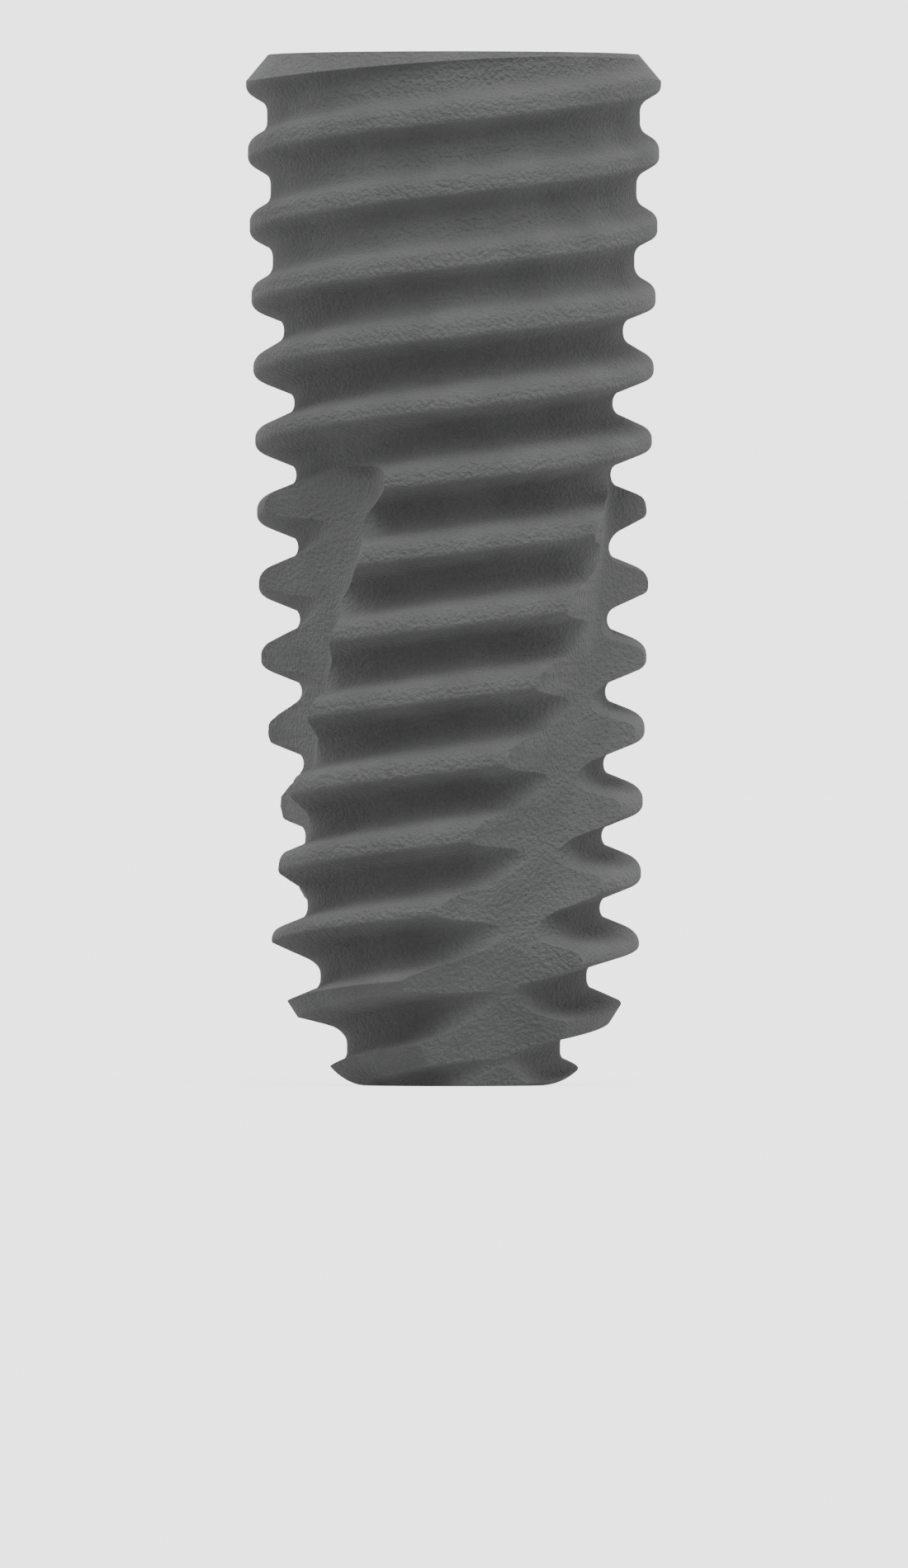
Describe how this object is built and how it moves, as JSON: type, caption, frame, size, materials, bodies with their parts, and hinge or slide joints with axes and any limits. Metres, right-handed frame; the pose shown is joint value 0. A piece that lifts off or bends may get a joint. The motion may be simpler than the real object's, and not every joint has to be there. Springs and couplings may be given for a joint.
{
  "type": "dental implant",
  "caption": "Tapered bone-level dental implant with a double thread, cutting flutes at the apex and a hexagon socket over a retaining-screw bore.",
  "frame": {"origin": "centre of the apex, on the plane that the flat of the apex stands on", "axes": "+Z along the implant's axis, from the apex to the platform; the picture looks along +Y"},
  "size_m": [0.004, 0.004, 0.01],
  "materials": {
    "titanium": "matt, blasted and etched titanium"
  },
  "bodies": {
    "root": {"implant_body": "titanium"}
  },
  "joints": []
}
